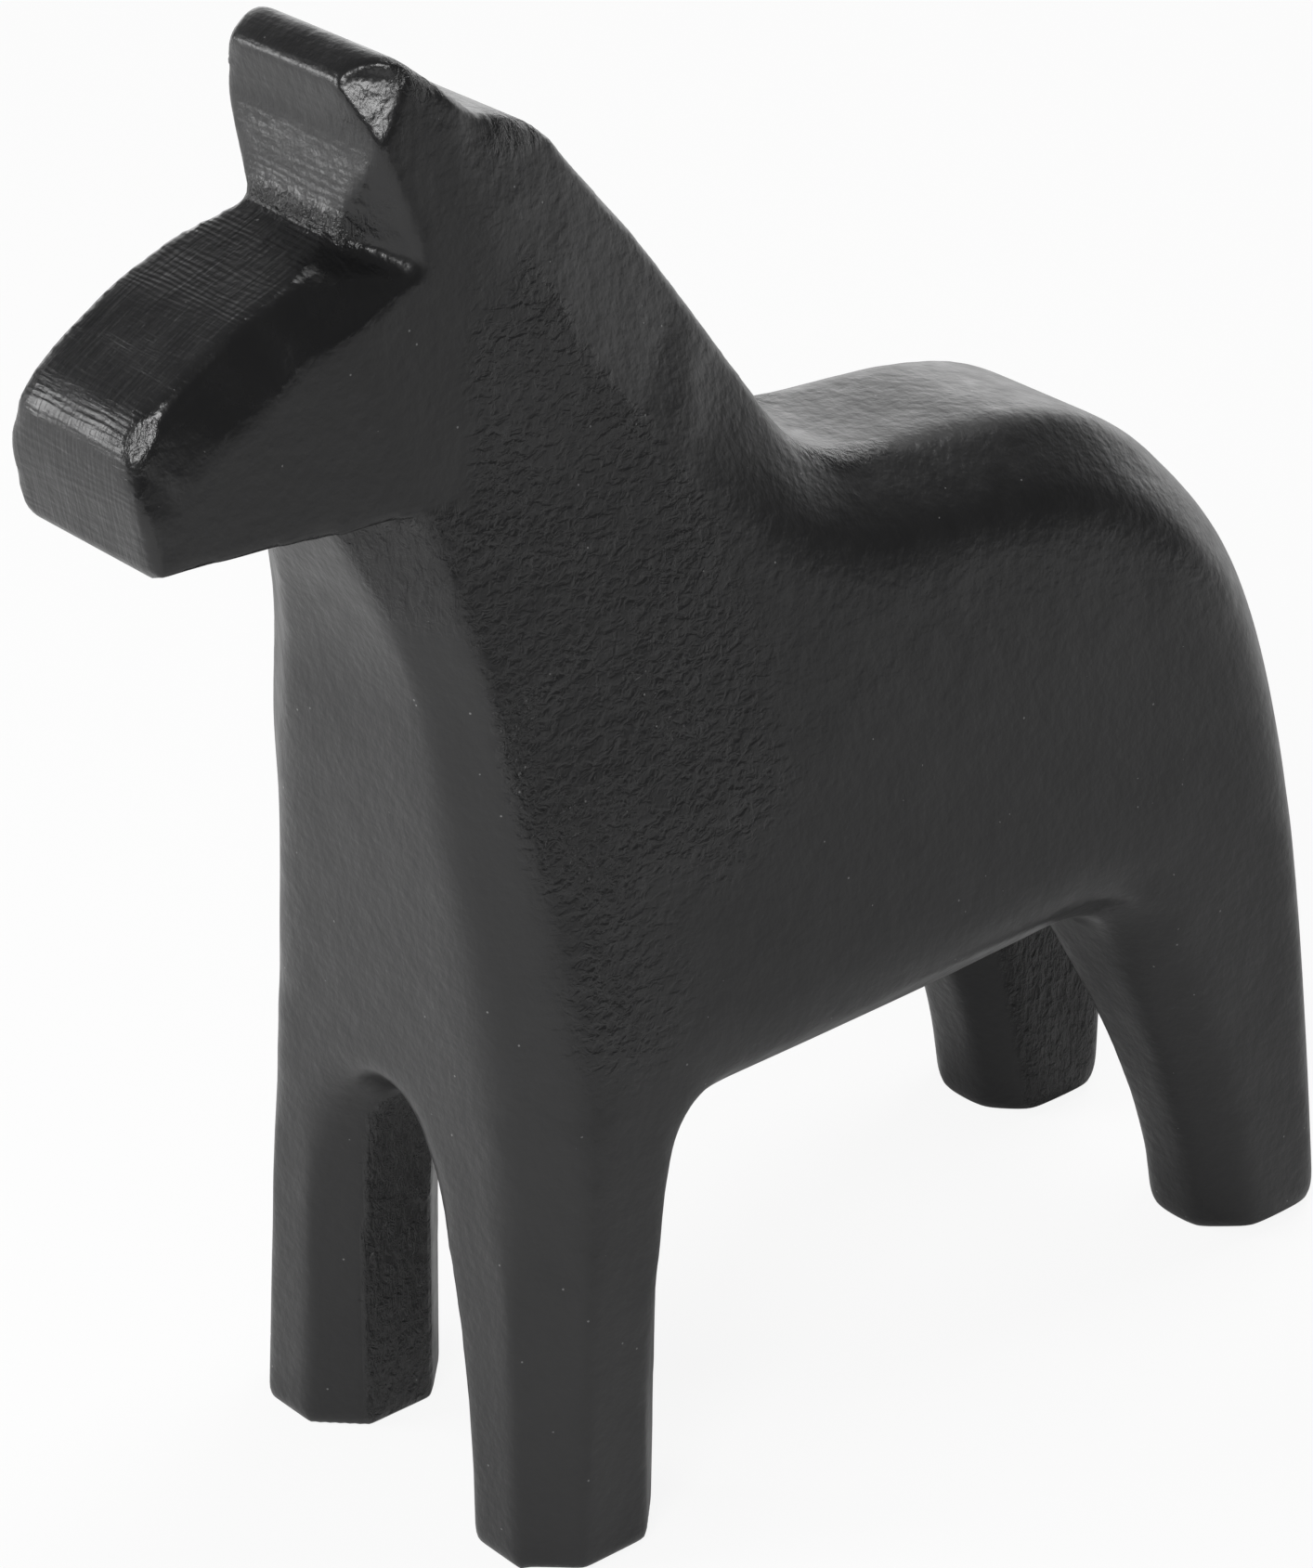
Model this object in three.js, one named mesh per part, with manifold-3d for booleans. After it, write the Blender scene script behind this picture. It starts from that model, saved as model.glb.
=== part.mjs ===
// A dala horse: one block of wood, band-sawn to its side outline and then cut to shape with a knife.
// Millimetres, +Z up. The nose points to -X, the horse's left side faces -Y, the soles stand on Z = 0.
//
// The solid is made the way the real one is:
//   1. the sawn blank, whose rim is bevelled on both sides by the knife;
//   2. the front view, narrow at the head and broad at the hooves, which tapers both flanks;
//   3. the arch between each pair of legs, with its mouths bevelled;
//   4. the wedge of the head, narrowing to the muzzle.

import * as THREE from 'three';
import Module from 'manifold-3d';
import { mergeVertices } from 'three/addons/utils/BufferGeometryUtils.js';

const wasm = await Module();
wasm.setup();

// ---------------------------------------------------------------- driving dimensions

const height = 150.8;          // soles to the tip of the ear
const length = 142.6;          // nose to the back of the hind hooves

const hoofWidth = 48.4;        // across the outsides of the hooves: the thickness of the plank
const girthWidth = 45.6;       // across the belly
const neckWidth = 25.8;        // across the throat
const pollWidth = 23.8;        // across the head under the ear
const earWidth = 20.4;         // across the tip of the ear
const muzzleWidth = 19.4;      // across the nose

const bellyHeight = 42.9;      // floor to the underside of the belly
const backHeight = 97.7;       // floor to the top of the back
const legGap = 17.2;           // between the insides of two hooves
const archRise = 3;            // how far an arch climbs above the belly at its outer mouth
const frontHoofLength = 17;
const hindHoofLength = 18;
const thighReach = 15.5;       // how far the front of a thigh has come forward at the belly
const hoofBevel = 4.6;         // the knife cut that makes each hoof eight-sided

const headDepth = 41.3;        // ear tip down to the underside of the jaw
const jawLength = 20.8;        // nose to throat, along the jaw
const muzzleDepth = 11.9;      // height of the flat front of the nose
const lipRise = 3;             // height of the bevel above it
const earHeight = 16;          // ear tip down to the brow
const crestDrop = 9.8;         // ear tip down to the top of the mane
const chestSetback = 31.6;     // nose back to the front of the front hooves

const sawnBand = 16.6;         // width that the saw left along the mane and back
const flankCut = 6;            // how far the knife came down the flank from the back
const bellyRound = 5.2;        // how far it came up the flank from the belly

// ---------------------------------------------------------------- levels and stations

const nose = -length / 2;
const tail = length / 2;
const jaw = height - headDepth;
const brow = height - earHeight;
const crest = height - crestDrop;
const frontHeel = nose + chestSetback + frontHoofLength;
const hindToe = tail - hindHoofLength;
const withers = nose + 77.6;
const chestTop = jaw - 17.5;
const breast = bellyHeight + (chestTop - bellyHeight) * 0.45;
const rimHoof = hoofWidth / 2 - hoofBevel;
const rimBack = sawnBand / 2;

// ---------------------------------------------------------------- front view

// Half the width at each height. The head and neck are narrow, and the flanks swell below them.
const flank = [
  [0, hoofWidth / 2],
  [bellyHeight + 10, girthWidth / 2],
  [(bellyHeight + backHeight) / 2 + 6, girthWidth / 2 - 3.4],
  [backHeight - 6, (girthWidth + neckWidth) / 4 - 1.7],
  [jaw, neckWidth / 2],
  [brow, pollWidth / 2],
  [height, earWidth / 2],
];

function halfWidthAt(z) {
  const top = flank.findIndex(([level]) => level >= z);
  if (top === 0) return flank[0][1];
  if (top < 0) return flank[flank.length - 1][1];
  const [z0, w0] = flank[top - 1];
  const [z1, w1] = flank[top];
  return w0 + (w1 - w0) * (z - z0) / (z1 - z0);
}

// The head narrows forward, from the throat to the nose.
const cheekEnd = nose + 28.3;

function headHalfWidthAt(x) {
  const along = (x - nose) / (cheekEnd - nose);
  return muzzleWidth / 2 + (neckWidth / 2 - muzzleWidth / 2) * along;
}

function sideAt(x, z) {
  const tapered = x < cheekEnd ? headHalfWidthAt(x) : Infinity;
  return Math.min(halfWidthAt(z), tapered);
}

// ---------------------------------------------------------------- side outline

// How far the front of a hind leg has come forward at a height above the floor.
function hindLean(z) {
  return thighReach * (Math.max(z, 0) / bellyHeight) ** 1.5;
}

// One corner of the sawn outline: its place, half of the rim's width there, how far the knife cut
// reaches into the side (dx, dz), and how much of the corner is rounded off.
function corner(x, z, rim, dx, dz, round = 0) {
  return { x, z, rim, dx, dz, round };
}

const chest = [
  corner(nose + chestSetback, 0, rimHoof, hoofBevel, 0.3),
  corner(nose + 32.3, bellyHeight + 2, rimHoof - 2.4, 6.2, 0, 12),
  corner(nose + 31.2, breast, 14.3, 5.6, 0, 9),
  corner(nose + 30.2, breast + 11, 12.3, 4.2, 0, 5),
  corner(nose + 29.5, chestTop - 2, 9.8, 3.5, 0, 4),
  corner(nose + 27.4, chestTop + 5.5, 8, 3.7, 0.4, 3),
];

const face = [
  corner(nose + jawLength + 1.6, jaw, 4.6, 6, 0.2, 2.5),
  corner(nose + 1.5, jaw + 0.4, muzzleWidth / 2 - 0.9, 0.3, 0.3),
  corner(nose + 0.3, jaw + 7, muzzleWidth / 2 - 0.2, 0.5, 0),
  corner(nose, jaw + muzzleDepth, muzzleWidth / 2 - 1.3, 4, -5.8, 0.4),
  corner(nose + 2.4, jaw + muzzleDepth + lipRise, muzzleWidth / 2 - 1.5, 3.5, -5, 0.5),
  corner(nose + 11.2, brow - 5, 8.2, 0.2, -7.6, 2.5),
  corner(nose + 17.2, brow - 2.7, 7.9, 0.2, -5.1),
  corner(nose + 23.8, brow, 5.6, 5.6, -3.2, 0.5),
];

const ear = [
  corner(nose + 25.6, brow + 8.4, 11, 0.4, -0.3, 1),
  corner(nose + 24.2, height - 2.2, 8.8, 2.4, -1, 0.5),
  corner(nose + 28, height, 9.7, 0.3, -0.9, 1.2),
  corner(nose + 33.6, height - 4.6, 10.4, -1.6, -2.2, 1),
  corner(nose + 36.6, height - 7.3, 9.8, -2, -5, 1.2),
];

const topLine = [
  corner(nose + 44.1, crest, 8.6, -5.4, -9.6, 4.5),
  corner(nose + 58.6, crest - 16.4, rimBack - 0.8, -9.9, -7.9, 6),
  corner(nose + 69.8, (crest + backHeight) / 2 - 10.1, rimBack - 0.6, -9, -7.4, 4),
  corner(withers, backHeight + 1.4, rimBack, -4, -flankCut, 6),
  corner(withers + 13, backHeight, rimBack + 0.4, 0, -flankCut, 4),
  corner(tail - 40, backHeight - 0.7, rimBack + 0.4, -0.6, -flankCut, 5),
];

const rump = [
  corner(tail - 28.6, backHeight - 3.3, rimBack + 0.8, -3.8, -flankCut, 5),
  corner(tail - 19.4, backHeight - 9.7, 10, -5.2, -4.8, 5),
  corner(tail - 11.3, backHeight - 19.4, 12, -6.2, -3.2, 6),
  corner(tail - 7.5, backHeight - 31, 14, -6.4, -1.4, 6),
  corner(tail - 3.7, bellyHeight, 17, -6, 0, 12),
  corner(tail - 1.4, bellyHeight / 2 - 4, 18.8, -5, 0, 10),
  corner(tail, 0, rimHoof, -hoofBevel, 0.3),
];

const under = [
  corner(hindToe, 0, rimHoof, hoofBevel, 0.3),
  corner(hindToe - hindLean(10), 10, rimHoof - 0.3, hoofBevel, 0, 5),
  corner(hindToe - hindLean(bellyHeight * 0.57), bellyHeight * 0.57, rimHoof - 0.6, 4.4, 0.8, 9),
  corner(hindToe - hindLean(bellyHeight), bellyHeight + 1.8, rimHoof - 1.6, 1.8, bellyRound, 7),
  corner(hindToe - 40, bellyHeight, rimHoof - 2.4, 0, bellyRound + 1, 10),
  corner(frontHeel + 2.6, bellyHeight, rimHoof - 2, -1.8, bellyRound, 6.5),
  corner(frontHeel + 0.4, bellyHeight / 2, rimHoof, -hoofBevel, 0.5, 9),
  corner(frontHeel, 0, rimHoof, -hoofBevel, 0.3),
];

const outline = [...chest, ...face, ...ear, ...topLine, ...rump, ...under];

function between(a, b, t) {
  const mix = (key) => a[key] + (b[key] - a[key]) * t;
  return { x: mix('x'), z: mix('z'), rim: mix('rim'), dx: mix('dx'), dz: mix('dz') };
}

// Walk round the outline, turning each rounded corner into a short quadratic curve.
function roundCorners(corners, steps = 5) {
  const points = [];
  corners.forEach((here, i) => {
    const before = corners[(i + corners.length - 1) % corners.length];
    const after = corners[(i + 1) % corners.length];
    if (!here.round) {
      points.push(between(here, here, 0));
      return;
    }
    const back = Math.hypot(before.x - here.x, before.z - here.z);
    const ahead = Math.hypot(after.x - here.x, after.z - here.z);
    const enter = between(here, before, Math.min(0.49, here.round / back));
    const leave = between(here, after, Math.min(0.49, here.round / ahead));
    for (let k = 0; k <= steps; k++) {
      const t = k / steps;
      points.push(between(between(enter, here, t), between(here, leave, t), t));
    }
  });
  return points;
}

// ---------------------------------------------------------------- solids

function signedVolume(vertices, faces) {
  const [a, b, c] = [new THREE.Vector3(), new THREE.Vector3(), new THREE.Vector3()];
  return faces.reduce((sum, [i, j, k]) => {
    a.fromArray(vertices[i]);
    b.fromArray(vertices[j]);
    c.fromArray(vertices[k]);
    return sum + b.cross(c).dot(a) / 6;
  }, 0);
}

function solidFrom(vertices, faces) {
  const outward = signedVolume(vertices, faces) > 0 ? faces : faces.map(([a, b, c]) => [a, c, b]);
  const mesh = new wasm.Mesh({
    numProp: 3,
    vertProperties: new Float32Array(vertices.flat()),
    triVerts: new Uint32Array(outward.flat()),
  });
  return new wasm.Manifold(mesh);
}

// Triangles over a flat loop of [u, v] points, wound the same way as the loop.
function capOf(loop) {
  const contour = loop.map(([u, v]) => new THREE.Vector2(u, v));
  const triangles = THREE.ShapeUtils.triangulateShape(contour, []);
  const [a, b, c] = triangles[0].map((i) => contour[i]);
  const sameWay = THREE.ShapeUtils.area([a, b, c]) * THREE.ShapeUtils.area(contour) > 0;
  return sameWay ? triangles : triangles.map(([i, j, k]) => [i, k, j]);
}

// Loops of points with the same count, joined in order and closed by a flat face at both ends.
function loft(loops, capLoop) {
  const count = loops[0].length;
  const faces = [];
  for (let ring = 0; ring + 1 < loops.length; ring++) {
    for (let i = 0; i < count; i++) {
      const j = (i + 1) % count;
      const low = ring * count;
      const high = low + count;
      faces.push([low + i, low + j, high + j], [low + i, high + j, high + i]);
    }
  }
  const last = (loops.length - 1) * count;
  for (const [a, b, c] of capOf(capLoop)) {
    faces.push([c, b, a], [last + a, last + b, last + c]);
  }
  return solidFrom(loops.flat(), faces);
}

// The sawn blank. Each side has the rim, the knife's bevel, and a wall that the taper trims away.
function sawnBlank() {
  const spare = 0.25;
  const wall = hoofWidth / 2 + 4;
  const points = roundCorners(outline);
  const bevelled = points.map((p) => {
    const side = sideAt(p.x + p.dx, p.z + p.dz);
    const reach = 1 + spare / Math.max(side - p.rim, 0.2);
    return { x: p.x + p.dx * reach, z: p.z + p.dz * reach, y: side + spare };
  });
  const loops = [
    bevelled.map((p) => [p.x, wall, p.z]),
    bevelled.map((p) => [p.x, p.y, p.z]),
    points.map((p) => [p.x, p.rim, p.z]),
    points.map((p) => [p.x, -p.rim, p.z]),
    bevelled.map((p) => [p.x, -p.y, p.z]),
    bevelled.map((p) => [p.x, -wall, p.z]),
  ];
  return loft(loops, bevelled.map((p) => [p.x, p.z]));
}

// The front view, as long as the horse.
function taperedFlanks() {
  const right = flank.map(([z, half]) => [half, z]);
  const left = flank.map(([z, half]) => [-half, z]).reverse();
  const shape = [...right, ...left];
  const ends = [nose - 5, tail + 5];
  return loft(ends.map((x) => shape.map(([y, z]) => [x, y, z])), shape);
}

// An arch as wide as 2 * half at the floor. Each side is a superellipse: the left leg's inside
// curves in steadily, and the right leg's stays upright to a square shoulder.
function archShape(half, top, steps = 9) {
  const shape = [[half, -5]];
  for (let k = 0; k <= steps; k++) {
    const turn = Math.PI / 2 * k / steps;
    shape.push([half * Math.cos(turn), top * Math.sin(turn) ** 0.36]);
  }
  for (let k = steps - 1; k >= 0; k--) {
    const turn = Math.PI / 2 * k / steps;
    shape.push([-half * Math.cos(turn), top * Math.sin(turn)]);
  }
  shape.push([-half, -5]);
  return shape;
}

// The gap between two legs, from the outer face at x to the inner face, thick away from it and
// leaning by lean(z). Both mouths flare by the hoof's bevel, and the top comes down to the belly.
function legArch(x, thick, lean) {
  const step = Math.sign(thick);
  const half = legGap / 2;
  const narrow = archShape(half, bellyHeight);
  const stations = [
    [x - step * hoofBevel, archShape(half + 2 * hoofBevel, bellyHeight + 2 * archRise), 0],
    [x, archShape(half + hoofBevel, bellyHeight + archRise), 0],
    [x + step * hoofBevel, narrow, 0],
    [x + thick - step * hoofBevel, narrow, 1],
    [x + thick, archShape(half + hoofBevel, bellyHeight), 1],
    [x + thick + step * hoofBevel, archShape(half + 2 * hoofBevel, bellyHeight), 1],
  ];
  return loft(stations.map(([at, shape, follow]) => {
    return shape.map(([y, z]) => [at + step * follow * lean(z), y, z]);
  }), narrow);
}

// What the knife takes off one side of the head. side is 1 or -1.
function cheekWaste(side) {
  const out = hoofWidth;
  const ahead = nose - 10;
  const plan = [
    [cheekEnd, side * headHalfWidthAt(cheekEnd)],
    [cheekEnd, side * out],
    [ahead, side * out],
    [ahead, side * headHalfWidthAt(ahead)],
  ];
  if (side > 0) plan.reverse();
  const levels = [jaw - 8, height + 5];
  return loft(levels.map((z) => plan.map(([x, y]) => [x, y, z])), plan);
}

function carvedHorse() {
  const frontArch = legArch(nose + chestSetback, frontHoofLength, () => 0);
  const hindArch = legArch(tail, -hindHoofLength, hindLean);
  return sawnBlank()
    .intersect(taperedFlanks())
    .subtract(frontArch)
    .subtract(hindArch)
    .subtract(cheekWaste(1))
    .subtract(cheekWaste(-1));
}

// ---------------------------------------------------------------- the part

function geometryOf(solid) {
  const mesh = solid.getMesh();
  const geometry = new THREE.BufferGeometry();
  geometry.setAttribute('position', new THREE.BufferAttribute(mesh.vertProperties, 3));
  geometry.setIndex(new THREE.BufferAttribute(mesh.triVerts, 1));
  return mergeVertices(geometry, 1e-4);
}

const blackPaint = new THREE.MeshStandardMaterial({ color: 0x1b1b1c, roughness: 0.45, metalness: 0 });

const horse = new THREE.Mesh(geometryOf(carvedHorse()), blackPaint);
horse.name = 'carved_horse';

// The origin is the middle of the footprint.
horse.geometry.computeBoundingBox();
const middle = horse.geometry.boundingBox.getCenter(new THREE.Vector3());
horse.position.set(-middle.x, -middle.y, 0);

const part = new THREE.Group();
part.add(horse);

export default part;
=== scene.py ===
"""A black dala horse on a white studio floor.

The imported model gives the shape. Here its one solid is remeshed finely, its knife edges are worn
soft where the real ones are, and a painted-wood surface is laid over it: saw ribs on the sawn
faces, torn grain on the neck and shoulder, knife cuts on the cheeks, and a thin satin paint.
"""

import math

import bpy
import numpy as np
from mathutils import Matrix, Vector


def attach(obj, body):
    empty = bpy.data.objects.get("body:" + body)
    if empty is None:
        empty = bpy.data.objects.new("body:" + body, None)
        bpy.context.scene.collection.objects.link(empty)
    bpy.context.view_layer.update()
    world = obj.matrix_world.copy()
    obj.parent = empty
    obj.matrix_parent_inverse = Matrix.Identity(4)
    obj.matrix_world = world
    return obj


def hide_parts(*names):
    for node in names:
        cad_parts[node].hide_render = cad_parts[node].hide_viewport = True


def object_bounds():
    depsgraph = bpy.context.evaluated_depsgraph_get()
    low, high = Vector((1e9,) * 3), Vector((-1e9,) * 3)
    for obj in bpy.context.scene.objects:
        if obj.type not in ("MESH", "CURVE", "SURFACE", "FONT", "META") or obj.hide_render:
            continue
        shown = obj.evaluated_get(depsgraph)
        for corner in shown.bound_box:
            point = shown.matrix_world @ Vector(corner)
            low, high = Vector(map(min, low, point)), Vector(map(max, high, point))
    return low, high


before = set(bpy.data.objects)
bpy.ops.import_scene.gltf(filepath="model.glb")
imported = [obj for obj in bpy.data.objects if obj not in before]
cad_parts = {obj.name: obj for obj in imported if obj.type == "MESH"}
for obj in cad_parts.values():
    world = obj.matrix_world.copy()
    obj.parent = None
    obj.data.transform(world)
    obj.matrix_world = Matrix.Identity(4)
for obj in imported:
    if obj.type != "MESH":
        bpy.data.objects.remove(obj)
cad_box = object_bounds()
low, high = (Vector(corner) for corner in cad_box)

MM = 0.001
NOSE = low.x / MM            # the horse's front end and its top, in millimetres
TOP = high.z / MM

# Rough heights of the horse's landmarks, in millimetres: they place the wear and the relief.
JAW = TOP - 40.9
BROW = TOP - 15.6
CREST = TOP - 9.4
BACK = 97.7
BELLY = 43.4


# ---------------------------------------------------------------- small helpers

def ramp(value, start, end):
    """0 at start, 1 at end, smooth between them. start may be above end."""
    t = np.clip((value - start) / (end - start), 0.0, 1.0)
    return t * t * (3.0 - 2.0 * t)


def ball(points, place, radius):
    """1 inside a ball, fading to 0 a little outside it."""
    away = np.linalg.norm(points - np.array(place), axis=1)
    return ramp(away, radius * 1.25, radius * 0.8)


def read_points(mesh):
    flat = np.empty(len(mesh.vertices) * 3, dtype=np.float32)
    mesh.vertices.foreach_get("co", flat)
    return flat.reshape(-1, 3).astype(np.float64) / MM


def write_points(mesh, points):
    mesh.vertices.foreach_set("co", (points * MM).astype(np.float32).ravel())
    mesh.update()


def read_normals(mesh):
    flat = np.empty(len(mesh.vertices) * 3, dtype=np.float32)
    mesh.vertices.foreach_get("normal", flat)
    return flat.reshape(-1, 3).astype(np.float64)


def read_edges(mesh):
    flat = np.empty(len(mesh.edges) * 2, dtype=np.int32)
    mesh.edges.foreach_get("vertices", flat)
    return flat.reshape(-1, 2)


def neighbour_mean(values, edges, valence):
    """The mean of each vertex's neighbours."""
    total = np.zeros_like(values)
    for axis in range(values.shape[1]):
        column = values[:, axis]
        total[:, axis] = np.bincount(edges[:, 0], column[edges[:, 1]], len(values))
        total[:, axis] += np.bincount(edges[:, 1], column[edges[:, 0]], len(values))
    return total / valence[:, None]


# ---------------------------------------------------------------- the carved surface

VOXEL = 0.7                   # the fine mesh's edge length, in millimetres
RELAX = 0.5                   # share of the way to its neighbours that a point moves in a round
RADIUS_PER_SPREAD = 1.6       # an edge relaxed over this many spreads looks rounded by its radius


def fine_copy(source, name):
    """A new object with the source's shape as an even mesh of small quads."""
    piece = bpy.data.objects.new(name, source.data.copy())
    bpy.context.collection.objects.link(piece)
    piece.matrix_world = source.matrix_world
    remesh = piece.modifiers.new("even mesh", "REMESH")
    remesh.mode = "VOXEL"
    remesh.voxel_size = VOXEL * MM
    graph = bpy.context.evaluated_depsgraph_get()
    mesh = bpy.data.meshes.new_from_object(piece.evaluated_get(graph))
    piece.modifiers.clear()
    piece.data = mesh
    return piece


def wear_radius(points):
    """How round the knife and sandpaper left the edges at each point, in millimetres."""
    x, y, z = points.T
    out = np.abs(y)
    radius = np.full(len(points), 5.0)

    mane = ramp(z, BACK, BACK + 12) * ramp(x, NOSE + 38, NOSE + 46)
    radius += mane * (1.4 + 1.0 * ramp(out, 9, 13) - radius)
    back = ramp(z, BACK - 12, BACK - 6) * ramp(x, NOSE + 74, NOSE + 82)
    radius += back * (2.6 + 2.6 * ramp(out, 9, 14) - radius)
    withers = np.exp(-((x - NOSE - 80) / 9) ** 2) * ramp(z, BACK - 3, BACK) * ramp(out, 12, 9)
    radius += withers * (1.4 - radius)

    chest = ramp(x, NOSE + 42, NOSE + 33) * ramp(z, 40, 60)
    radius += chest * (1.3 + 2.2 * ramp(z, 100, 60) - radius)
    belly = ramp(z, BELLY + 6, BELLY + 2) * ramp(z, BELLY - 8, BELLY - 2)
    radius += belly * (2.6 - radius)

    leg = ramp(z, 46, 30)
    radius += leg * (0.9 + 1.1 * ramp(x, 0, 20) - radius)
    sole = ramp(z, 6, 1)
    radius += sole * (0.9 + 1.9 * ramp(x, 0, 20) - radius)

    head = ramp(x, NOSE + 33, NOSE + 25) * ramp(z, JAW - 4, JAW - 1)
    radius += head * (0.5 - radius)
    nose = ramp(x, NOSE + 6, NOSE + 3) * ramp(z, JAW + 8, JAW + 11)
    radius += nose * (1.6 - radius)
    ear = ramp(z, CREST - 6, CREST - 1) * ramp(x, NOSE + 50, NOSE + 44)
    radius += ear * (0.75 - radius)
    tip = ramp(z, TOP - 4, TOP - 1.5)
    radius += tip * (1.5 - radius)
    return radius


def shave(points, place, normal, reach):
    """Cuts one flat facet: what stands out past a plane, within reach of place, is pressed onto it."""
    facing = np.array(normal) / np.linalg.norm(normal)
    offset = points - np.array(place)
    near = ramp(np.linalg.norm(offset, axis=1), reach * 1.25, reach)
    press = np.clip(offset @ facing, 0.0, None) * near
    points -= press[:, None] * facing


def carve_facets(mesh):
    """The knife's last small cuts, on the left side of the ear's tip and of the nose."""
    points = read_points(mesh)
    shave(points, (NOSE + 25.6, -9.7, TOP - 5.9), (-0.66, -0.63, 0.41), 4.8)
    shave(points, (NOSE + 1.7, -8.0, JAW + 12.6), (-0.66, -0.54, 0.52), 3.2)
    write_points(mesh, points)


def wear_edges(mesh):
    """Rounds the edges: each point is relaxed for as long as its radius asks."""
    points = read_points(mesh)
    edges = read_edges(mesh)
    valence = np.bincount(edges.ravel(), minlength=len(points)).astype(np.float64)
    spread = wear_radius(points) / RADIUS_PER_SPREAD
    rounds = spread ** 2 / (RELAX / 2 * VOXEL ** 2)
    for step in range(int(rounds.max()) + 1):
        share = np.clip(rounds - step, 0.0, 1.0)[:, None] * RELAX
        points += share * (neighbour_mean(points, edges, valence) - points)
    write_points(mesh, points)


def add_region(mesh, name, values):
    attribute = mesh.attributes.new(name, "FLOAT", "POINT")
    attribute.data.foreach_set("value", np.clip(values, 0, 1).astype(np.float32))


def mark_regions(mesh):
    """Names what each stretch of the surface went through, for the paint to show."""
    points = read_points(mesh)
    normals = read_normals(mesh)
    x, y, z = points.T
    out = np.abs(y)
    across = 1.0 - ramp(np.abs(normals[:, 1]), 0.25, 0.6)

    head = ramp(x, NOSE + 30, NOSE + 25) * ramp(z, JAW - 2, JAW + 1)
    poll = ramp(z, CREST - 2, CREST) * ramp(x, NOSE + 34, NOSE + 36)
    chest = ramp(x, NOSE + 40, NOSE + 34) * ramp(z, 30, 60)
    ear_front = ramp(z, BROW, BROW + 2) * ramp(x, NOSE + 30, NOSE + 27)
    sawn = across * np.maximum.reduce([head, poll, 0.1 * chest]) * (1.0 - 0.7 * ear_front)
    add_region(mesh, "sawn", sawn)

    # The grain tore where the knife turned into the chest, and less so back across the shoulder.
    edge = NOSE + 34.5 + 9.5 * ramp(z, 98, 58)
    behind = x - edge
    torn = np.exp(-(behind / 5.5) ** 2) * ramp(z, 48, 64) * ramp(z, 112, 100)
    shoulder = ramp(behind, -3, 2) * ramp(behind, 34, 8) * ramp(z, 62, 78) * ramp(z, 140, 112)
    flat = ramp(np.abs(normals[:, 1]), 0.55, 0.8) * ramp(normals[:, 0] + normals[:, 2], 0.42, 0.25)
    add_region(mesh, "torn", np.maximum(torn, 0.7 * shoulder) * flat)

    # Smooth knife cuts: the cheeks.
    sideways = ramp(np.abs(normals[:, 1]), 0.2, 0.4)
    cheek = head * sideways * ramp(np.abs(normals[:, 1]), 0.97, 0.9)
    add_region(mesh, "cut", cheek)

    # Split wood: the throat, the insides of the legs, the ear's foot and tip, the poll, the withers.
    throat = ramp(z, JAW - 14, JAW - 9) * ramp(z, JAW + 1, JAW - 1) * ramp(x, NOSE + 33, NOSE + 30)
    throat = throat * sideways
    inside = ramp(z, BELLY + 4, BELLY - 2) * ramp(out, 13.5, 10.5) * ramp(np.abs(normals[:, 1]), 0.78, 0.9)
    ear_foot = np.exp(-((x - NOSE - 24.5) / 1.3) ** 2 - ((z - BROW - 0.4) / 1.1) ** 2)
    ear_tip = ramp(z, TOP - 5, TOP - 2) * ramp(out, 6, 9) * ramp(x, NOSE + 27, NOSE + 30)
    poll_edge = np.exp(-((x - NOSE - 43) / 4) ** 2 - ((z - CREST) / 1.6) ** 2) * ramp(out, 5, 8)
    crease = np.exp(-((x - NOSE - 81) / 5) ** 2 - ((out - 8) / 1.2) ** 2) * ramp(z, BACK - 4, BACK - 1)
    # The two small facets are only a little crumpled.
    ear_facet = ball(points, (NOSE + 25.7, -9.6, TOP - 5.6), 4.0)
    nose_corner = ball(points, (NOSE + 1.3, -8.3, JAW + 13.0), 2.6)
    splits = [0.45 * throat, inside, ear_foot, 0.7 * ear_tip, poll_edge, 0.7 * crease]
    splits += [0.06 * ear_facet, 0.12 * nose_corner]
    add_region(mesh, "split", np.maximum.reduce(splits))


# ---------------------------------------------------------------- black satin paint

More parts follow.
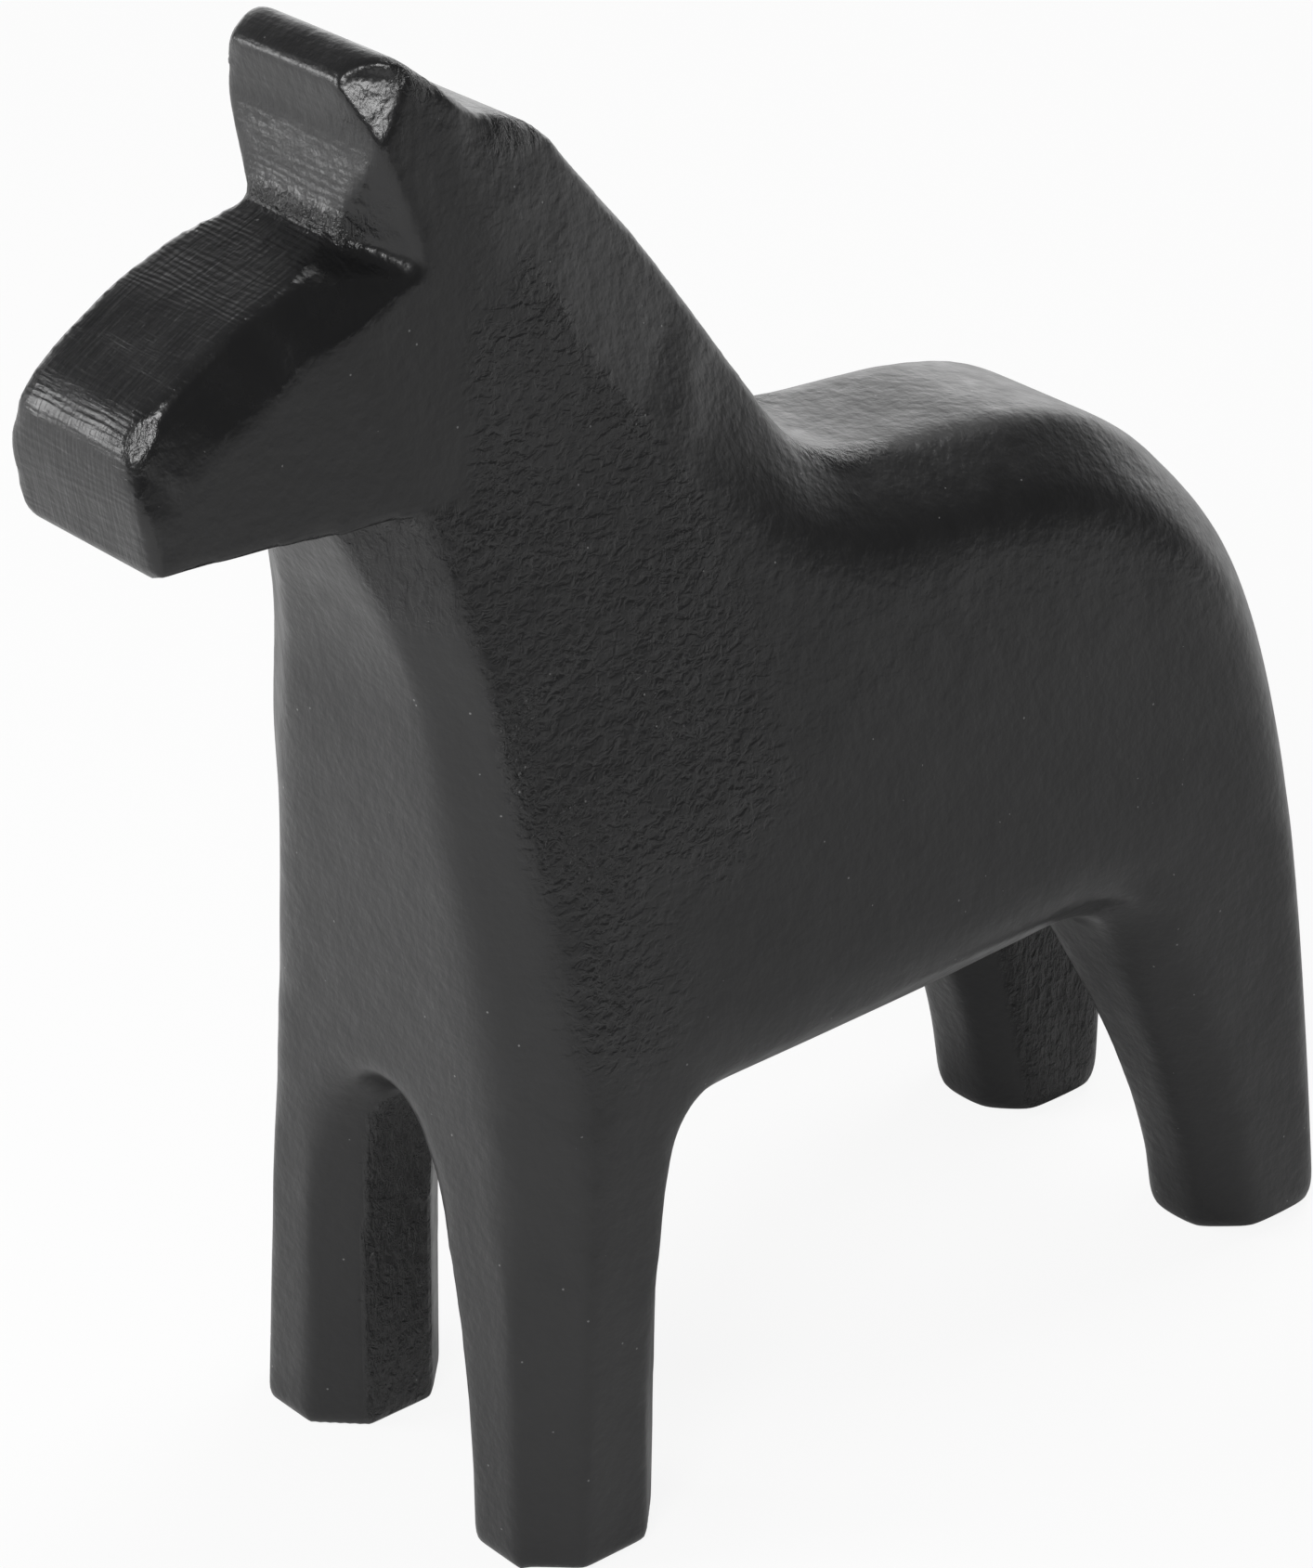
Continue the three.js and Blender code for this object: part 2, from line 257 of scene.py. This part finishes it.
class Nodes:
    """Short names for building one material's nodes."""

    def __init__(self, name):
        self.material = bpy.data.materials.new(name)
        self.material.use_nodes = True
        self.tree = self.material.node_tree
        self.tree.nodes.clear()

    def add(self, kind, **settings):
        node = self.tree.nodes.new(kind)
        for key, value in settings.items():
            setattr(node, key, value)
        return node

    def put(self, socket, value):
        if hasattr(value, "is_linked"):
            self.tree.links.new(value, socket)
        else:
            socket.default_value = value

    def math(self, operation, a, b=0.0):
        node = self.add("ShaderNodeMath", operation=operation)
        self.put(node.inputs[0], a)
        self.put(node.inputs[1], b)
        return node.outputs[0]

    def scaled(self, vector, x, y, z):
        node = self.add("ShaderNodeMapping")
        self.put(node.inputs["Vector"], vector)
        node.inputs["Scale"].default_value = (x, y, z)
        return node.outputs[0]

    def noise(self, vector, scale, detail=2.0, roughness=0.5, distortion=0.0):
        node = self.add("ShaderNodeTexNoise")
        self.put(node.inputs["Vector"], vector)
        node.inputs["Scale"].default_value = scale
        node.inputs["Detail"].default_value = detail
        node.inputs["Roughness"].default_value = roughness
        node.inputs["Distortion"].default_value = distortion
        return node.outputs["Fac"]

    def region(self, name):
        return self.add("ShaderNodeAttribute", attribute_name=name).outputs["Fac"]

    def span(self, value, start, end, low=0.0, high=1.0):
        node = self.add("ShaderNodeMapRange", clamp=True)
        self.put(node.inputs["Value"], value)
        node.inputs["From Min"].default_value = start
        node.inputs["From Max"].default_value = end
        node.inputs["To Min"].default_value = low
        node.inputs["To Max"].default_value = high
        return node.outputs[0]

    def total(self, *values):
        result = values[0]
        for value in values[1:]:
            result = self.math("ADD", result, value)
        return result


RIB_PITCH = 0.80              # millimetres of X plus Z between two saw ribs


def saw_ribs(n, millimetres):
    """Fine ribs that the saw left across the width, crossed by faint lines, as a height in mm."""
    split = n.add("ShaderNodeSeparateXYZ")
    n.put(split.inputs[0], millimetres)
    along = n.math("ADD", split.outputs["X"], split.outputs["Z"])
    wander = n.math("MULTIPLY", n.noise(n.scaled(millimetres, 0.2, 0.06, 0.2), 1.0, 2.0), 3.0)
    phase = n.math("MULTIPLY", n.math("ADD", along, wander), 2 * math.pi / RIB_PITCH)
    rib = n.math("SINE", phase)
    uneven = n.noise(n.scaled(millimetres, 0.5, 0.12, 0.5), 1.0, 3.0)
    ribs = n.math("MULTIPLY", n.math("MULTIPLY", rib, n.span(uneven, 0.35, 0.65, 0.1, 1.0)), 0.020)
    crossing = n.noise(n.scaled(millimetres, 0.10, 2.2, 0.10), 1.0, 2.0)
    crossing = n.span(crossing, 0.3, 0.7, 0.0, 0.025)
    fibres = n.noise(n.scaled(millimetres, 2.6, 0.35, 2.6), 1.0, 3.0, 0.6)
    return n.total(ribs, crossing, n.math("MULTIPLY", fibres, 0.06))


def torn_grain(n, millimetres):
    """Short pits and tears, thicker in some places than in others, as a height in millimetres."""
    pits = n.noise(n.scaled(millimetres, 0.8, 1.0, 1.1), 0.95, 3.0, 0.5, 0.5)
    where = n.span(n.noise(millimetres, 0.10, 2.0), 0.38, 0.58, 0.35, 1.0)
    small = n.noise(n.scaled(millimetres, 2.8, 2.8, 2.0), 1.0, 2.0, 0.5, 0.3)
    depth = n.math("ADD", n.span(pits, 0.36, 0.58, 0.0, 0.34), n.span(small, 0.35, 0.65, 0.0, 0.06))
    return n.math("MULTIPLY", depth, where)


def knife_marks(n, millimetres):
    """Faint chatter of the blade along a smooth cut."""
    chatter = n.noise(n.scaled(millimetres, 1.1, 1.1, 0.5), 1.0, 2.0)
    waves = n.noise(n.scaled(millimetres, 0.30, 0.30, 0.22), 1.0, 1.0)
    return n.math("ADD", n.math("MULTIPLY", chatter, 0.03), n.math("MULTIPLY", waves, 0.08))


def split_fibres(n, millimetres):
    """Upright splits and lifted fibres, where the knife broke the wood instead of slicing it."""
    fibres = n.noise(n.scaled(millimetres, 1.3, 1.3, 0.22), 1.0, 3.0, 0.6, 0.8)
    crumbs = n.noise(n.scaled(millimetres, 1.0, 1.0, 0.7), 0.8, 4.0, 0.6, 0.4)
    return n.math("ADD", n.span(fibres, 0.36, 0.64, 0.0, 0.16), n.span(crumbs, 0.4, 0.65, 0.0, 0.36))


def dust_specks(n, millimetres):
    """Sparse pale specks, as a factor."""
    cells = n.add("ShaderNodeTexVoronoi", feature="F1")
    n.put(cells.inputs["Vector"], millimetres)
    cells.inputs["Scale"].default_value = 0.55
    chosen = n.math("GREATER_THAN", n.noise(millimetres, 0.33, 1.0), 0.56)
    dot = n.math("LESS_THAN", cells.outputs["Distance"], 0.06)
    return n.math("MULTIPLY", dot, chosen)


def black_paint():
    n = Nodes("black satin paint on wood")
    place = n.add("ShaderNodeTexCoord").outputs["Object"]
    millimetres = n.scaled(place, 1000, 1000, 1000)

    sawn = n.region("sawn")
    torn = n.region("torn")
    cut = n.region("cut")
    split = n.region("split")

    peel = n.math("MULTIPLY", n.noise(millimetres, 0.95, 2.0, 0.5), 0.085)
    fine = n.math("MULTIPLY", n.noise(millimetres, 3.2, 2.0, 0.5), 0.010)
    broad = n.math("MULTIPLY", n.noise(millimetres, 0.13, 2.0), 0.22)
    ribs = n.math("MULTIPLY", saw_ribs(n, millimetres), sawn)
    tears = n.math("MULTIPLY", torn_grain(n, millimetres), torn)
    knife = n.math("MULTIPLY", knife_marks(n, millimetres), cut)
    broken = n.math("MULTIPLY", split_fibres(n, millimetres), split)
    height = n.total(peel, fine, broad, ribs, tears, knife, broken)
    bump = n.add("ShaderNodeBump")
    bump.inputs["Strength"].default_value = 1.0
    bump.inputs["Distance"].default_value = MM
    n.put(bump.inputs["Height"], height)

    patch = n.noise(millimetres, 0.06, 3.0)
    worn = n.add("ShaderNodeMix", data_type="RGBA")
    n.put(worn.inputs["Factor"], n.span(patch, 0.3, 0.7, 0.0, 1.0))
    worn.inputs[6].default_value = (0.0095, 0.0095, 0.0100, 1)
    worn.inputs[7].default_value = (0.0125, 0.0125, 0.0130, 1)
    colour = n.add("ShaderNodeMix", data_type="RGBA")
    n.put(colour.inputs["Factor"], dust_specks(n, millimetres))
    n.put(colour.inputs[6], worn.outputs[2])
    colour.inputs[7].default_value = (0.16, 0.16, 0.16, 1)

    sheen = n.noise(millimetres, 0.35, 4.0)
    roughness = n.span(sheen, 0.3, 0.7, 0.30, 0.40)
    roughness = n.math("ADD", roughness, n.math("MULTIPLY", torn, 0.08))
    roughness = n.math("SUBTRACT", roughness, n.math("MULTIPLY", cut, 0.10))

    shader = n.add("ShaderNodeBsdfPrincipled")
    n.put(shader.inputs["Base Color"], colour.outputs[2])
    n.put(shader.inputs["Roughness"], roughness)
    shader.inputs["IOR"].default_value = 1.5
    n.put(shader.inputs["Normal"], bump.outputs["Normal"])
    output = n.add("ShaderNodeOutputMaterial")
    n.put(output.inputs["Surface"], shader.outputs[0])
    return n.material


# ---------------------------------------------------------------- the horse

def carve_horse():
    horse = fine_copy(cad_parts["carved_horse"], "painted_horse")
    wear_edges(horse.data)
    carve_facets(horse.data)
    horse.data.shade_smooth()
    mark_regions(horse.data)
    horse.data.materials.clear()
    horse.data.materials.append(black_paint())
    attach(horse, "root")
    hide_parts("carved_horse")


# ---------------------------------------------------------------- the studio

SEEN_GLOW = 0.90              # how far the paper glows rather than being lit, seen directly
LEFT_GLOW = 1.0               # the same in a reflection, to the left of the horse
RIGHT_GLOW = 0.95             # and to the right


def studio_white(name):
    """White paper that takes shadows. Seen directly it mostly glows, which keeps it white.

    In a reflection it glows only to the left and far to the right, and is dark under the horse.
    """
    n = Nodes(name)
    paper = n.add("ShaderNodeBsdfDiffuse")
    paper.inputs["Color"].default_value = (0.86, 0.86, 0.86, 1)
    light = n.add("ShaderNodeEmission")
    light.inputs["Color"].default_value = (1, 1, 1, 1)
    light.inputs["Strength"].default_value = 1.0
    place = n.add("ShaderNodeSeparateXYZ")
    n.put(place.inputs[0], n.add("ShaderNodeTexCoord").outputs["Object"])
    left = n.span(place.outputs["X"], 0.0, -0.11, 0.0, LEFT_GLOW)
    right = n.span(place.outputs["X"], 0.18, 0.42, 0.0, RIGHT_GLOW)
    path = n.add("ShaderNodeLightPath")
    seen = n.math("MULTIPLY", path.outputs["Is Camera Ray"], SEEN_GLOW)
    mirrored = n.math("MAXIMUM", path.outputs["Is Glossy Ray"], path.outputs["Is Transmission Ray"])
    mirrored = n.math("MULTIPLY", mirrored, n.math("MAXIMUM", left, right))
    mix = n.add("ShaderNodeMixShader")
    n.put(mix.inputs["Fac"], n.math("ADD", seen, mirrored))
    n.put(mix.inputs[1], paper.outputs[0])
    n.put(mix.inputs[2], light.outputs[0])
    output = n.add("ShaderNodeOutputMaterial")
    n.put(output.inputs["Surface"], mix.outputs[0])
    return n.material


def studio_floor():
    """A floor that curves up into a backdrop behind the horse."""
    away, sideways = view_directions()
    reach, depth, bend, wall = 1.6, 1.10, 0.25, 0.9
    steps = 12
    profile = [(-1.4, 0.0), (depth, 0.0)]
    for k in range(1, steps + 1):
        turn = math.pi / 2 * k / steps
        profile.append((depth + bend * math.sin(turn), bend * (1 - math.cos(turn))))
    profile.append((depth + bend, wall))
    vertices = []
    for side in (-reach, reach):
        for out, up in profile:
            vertices.append(away * out + sideways * side + Vector((0, 0, up + low.z)))
    count = len(profile)
    faces = [(i, i + 1, count + i + 1, count + i) for i in range(count - 1)]
    mesh = bpy.data.meshes.new("studio sweep")
    mesh.from_pydata(vertices, [], faces)
    mesh.shade_smooth()
    sweep = bpy.data.objects.new("studio sweep", mesh)
    bpy.context.collection.objects.link(sweep)
    mesh.materials.append(studio_white("white paper"))


# ---------------------------------------------------------------- camera

AZIMUTH = math.radians(-41.08)       # of the camera's right-hand side, about +Z
ELEVATION = math.radians(27.30)
ROLL = math.radians(0.27)
DISTANCE = 0.5155
SENSOR = 36                          # millimetres, along the frame's long side
FOCAL = 123.02                       # millimetres


def view_directions():
    """Level directions: away from the camera, and to its right."""
    return (Vector((-math.sin(AZIMUTH), math.cos(AZIMUTH), 0)),
            Vector((math.cos(AZIMUTH), math.sin(AZIMUTH), 0)))


def place_camera():
    away, right = view_directions()
    back = -away * math.cos(ELEVATION) + Vector((0, 0, math.sin(ELEVATION)))
    up = back.cross(right)
    tilt = Matrix.Rotation(ROLL, 3, back)
    target = Vector(((low.x + high.x) / 2 - 0.0054, 0, (TOP * 0.4365) * MM))
    data = bpy.data.cameras.new("camera")
    data.sensor_fit = "VERTICAL"
    data.sensor_height = SENSOR
    data.lens = FOCAL
    data.clip_start = 0.01
    camera = bpy.data.objects.new("camera", data)
    bpy.context.collection.objects.link(camera)
    turn = Matrix((tilt @ right, tilt @ up, back)).transposed()
    camera.matrix_world = Matrix.Translation(target + back * DISTANCE) @ turn.to_4x4()
    bpy.context.scene.camera = camera


# ---------------------------------------------------------------- lights

def soft_box(name, aim, direction, distance, size, power):
    """A rectangular soft light that faces aim from a direction."""
    data = bpy.data.lights.new(name, "AREA")
    data.shape = "RECTANGLE"
    data.size, data.size_y = size
    data.energy = power
    light = bpy.data.objects.new(name, data)
    bpy.context.collection.objects.link(light)
    direction = direction.normalized()
    light.location = aim + direction * distance
    light.rotation_euler = direction.to_track_quat("Z", "Y").to_euler()


def light_studio():
    aim = Vector((0, 0, 0.07))
    body_aim = Vector((0, 0, 0.09))
    away, _ = view_directions()
    soft_box("key, left and high", aim, Vector((-0.66, -0.40, 0.56)), 0.75, (0.20, 0.20), 2.1)
    soft_box("fill, back left", Vector((-0.1, 0.1, 0)), Vector((-0.36, 0.22, 0.24)), 0.48, (0.3, 0.2), 2.0)
    soft_box("top light", aim, Vector((0.44, 0.08, 1.0)), 0.9, (0.35, 0.35), 3.1)
    soft_box("backdrop, low", body_aim, away + Vector((0, 0, 0.12)), 0.80, (1.5, 0.26), 1.6)
    soft_box("backdrop, high", body_aim, away + Vector((0, 0, 0.46)), 0.90, (1.5, 0.26), 0.25)
    world = bpy.data.worlds.new("studio")
    world.use_nodes = True
    world.node_tree.nodes["Background"].inputs["Color"].default_value = (1, 1, 1, 1)
    world.node_tree.nodes["Background"].inputs["Strength"].default_value = 0.14
    bpy.context.scene.world = world


# ---------------------------------------------------------------- the picture

place_camera()
carve_horse()
studio_floor()
light_studio()
bpy.context.scene.view_settings.view_transform = "Standard"
